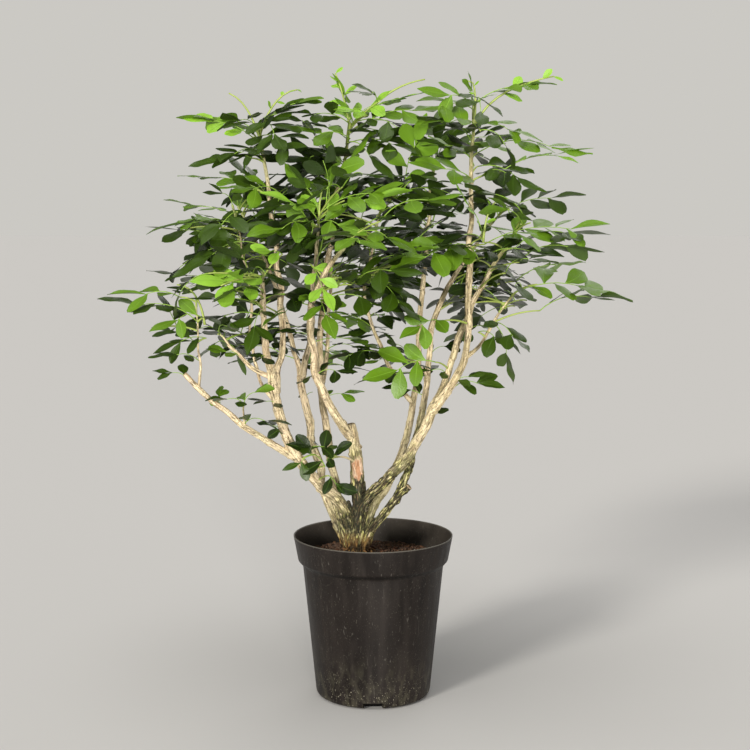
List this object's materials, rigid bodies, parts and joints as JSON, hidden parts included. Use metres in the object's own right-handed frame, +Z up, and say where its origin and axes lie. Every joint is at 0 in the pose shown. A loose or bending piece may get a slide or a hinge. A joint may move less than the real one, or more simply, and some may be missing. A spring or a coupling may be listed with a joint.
{
  "type": "potted orange jasmine shrub",
  "caption": "Small evergreen shrub with pale, many-forked stems and glossy compound leaves, in a round black plastic nursery pot of soil.",
  "frame": {"origin": "centre of the pot's flat underside", "axes": "+Z up along the pot's axis, -Y towards the side seen in the picture, +X to the right of that view"},
  "size_m": [0.5421, 0.3746, 0.654],
  "materials": {
    "pot_plastic": "matte black moulded plastic",
    "soil": "crumbly dark potting soil",
    "bark": "pale tan bark, fissured at the foot",
    "leaf_green": "glossy green leaves"
  },
  "bodies": {
    "root": {"pot": "pot_plastic", "soil": "soil", "trunk": "bark", "left_leader": "bark", "mid_left_stem": "bark", "mid_back_stem": "bark", "centre_stub": "bark", "right_leader": "bark", "low_right_stub": "bark", "back_right_stem": "bark", "left_outer_bough": "bark", "left_inner_bough": "bark", "low_left_bough": "bark", "left_side_branch": "bark", "left_thin_branch": "bark", "mid_left_fork": "bark", "mid_left_stub": "bark", "mid_back_fork": "bark", "centre_branch": "bark", "right_inner_stub": "bark", "right_outer_bough": "bark", "right_side_twig": "bark", "right_back_stem": "bark", "inner_cross_twig": "bark", "far_left_leaves": "leaf_green", "left_mid_leaves": "leaf_green", "left_top_leaves": "leaf_green", "front_low_left_leaves": "leaf_green", "front_left_leaves": "leaf_green", "centre_top_leaves": "leaf_green", "centre_front_leaves": "leaf_green", "top_right_leaves": "leaf_green", "right_mid_leaves": "leaf_green", "right_low_leaves": "leaf_green", "back_right_leaves": "leaf_green", "right_back_leaves": "leaf_green", "inner_leaves": "leaf_green", "back_left_leaves": "leaf_green", "back_centre_leaves": "leaf_green", "left_side_leaves": "leaf_green", "basal_leaves": "leaf_green", "low_bough_leaves": "leaf_green", "under_right_leaves": "leaf_green"}
  },
  "joints": []
}
